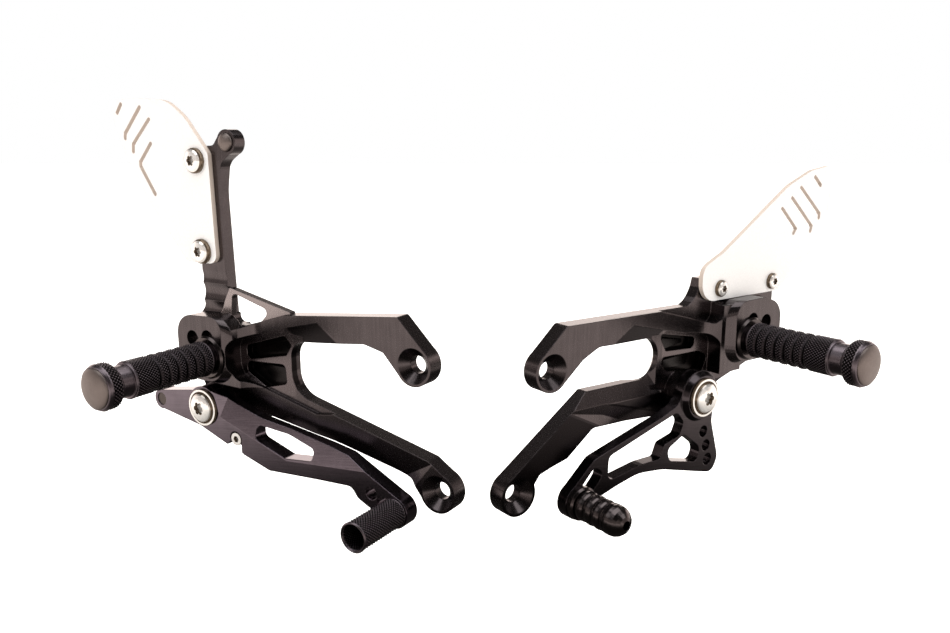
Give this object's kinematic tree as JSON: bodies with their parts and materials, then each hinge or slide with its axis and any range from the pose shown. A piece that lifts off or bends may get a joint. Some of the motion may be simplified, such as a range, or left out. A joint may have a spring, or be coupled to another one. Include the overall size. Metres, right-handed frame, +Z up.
{
  "type": "rear sets footrest",
  "caption": "Pair of milled motorcycle rear foot controls: forked brackets, knurled footpegs, brake and gear levers and slotted heel guards.",
  "frame": {"origin": "centre of the brake side's upper mounting bore, on its back face", "axes": "+X to the viewer's right across the pair, +Y away from the viewer, +Z up. Each bracket stands upright on its own plate: the brake side is turned 31.4 degrees clockwise about Z, seen from above, the gear side 35.8 degrees anticlockwise and mirrored"},
  "size_m": [0.4739, 0.1873, 0.2331],
  "materials": {
    "black_milled": "black anodised, milled satin",
    "black_lever": "black anodised, fine milled",
    "black_turned": "black anodised, turned and knurled",
    "satin_aluminium": "bright satin plate",
    "polished_steel": "polished stainless steel",
    "dark_steel": "blackened pin",
    "grey_satin": "grey satin, domed",
    "bronze": "plain bearing bronze"
  },
  "bodies": {
    "brackets": {"brake_bracket": "black_milled", "brake_arm_plug": "grey_satin", "brake_heel_guard": "satin_aluminium", "brake_guard_screw_upper": "polished_steel", "brake_guard_screw_lower": "polished_steel", "brake_peg_collar": "black_turned", "brake_peg_grip": "black_turned", "brake_peg_end_cap": "grey_satin", "brake_peg_bolt": "polished_steel", "brake_pivot_washer": "polished_steel", "brake_pivot_bolt": "polished_steel", "brake_pivot_nut": "polished_steel", "shift_bracket": "black_milled", "shift_heel_guard": "satin_aluminium", "shift_guard_screw_front": "polished_steel", "shift_guard_screw_rear": "polished_steel", "shift_peg_collar": "black_turned", "shift_peg_grip": "black_turned", "shift_peg_end_cap": "grey_satin", "shift_peg_bolt": "polished_steel", "shift_pivot_washer": "polished_steel", "shift_pivot_bolt": "polished_steel", "shift_pivot_nut": "polished_steel"},
    "brake_pedal": {"brake_lever": "black_lever", "brake_lever_bush": "bronze", "brake_clevis_pin": "dark_steel", "brake_stop_screw": "polished_steel", "brake_toe_tube": "black_turned", "brake_toe_bolt": "polished_steel"},
    "gear_pedal": {"shift_lever": "black_lever", "shift_lever_bush": "bronze", "shift_toe_peg": "black_turned", "shift_toe_bolt": "polished_steel"}
  },
  "joints": [
    {"name": "brake_lever_pivot", "type": "hinge", "parent": "brackets", "child": "brake_pedal", "pos_m": [-0.13634, 0.06647, -0.0448], "axis": [0.521, 0.8536, 0], "range_deg": [0, 12]},
    {"name": "gear_lever_pivot", "type": "hinge", "parent": "brackets", "child": "gear_pedal", "pos_m": [0.15829, 0.04569, -0.0318], "axis": [0.585, -0.8111, 0], "range_deg": [-12, 12]}
  ]
}
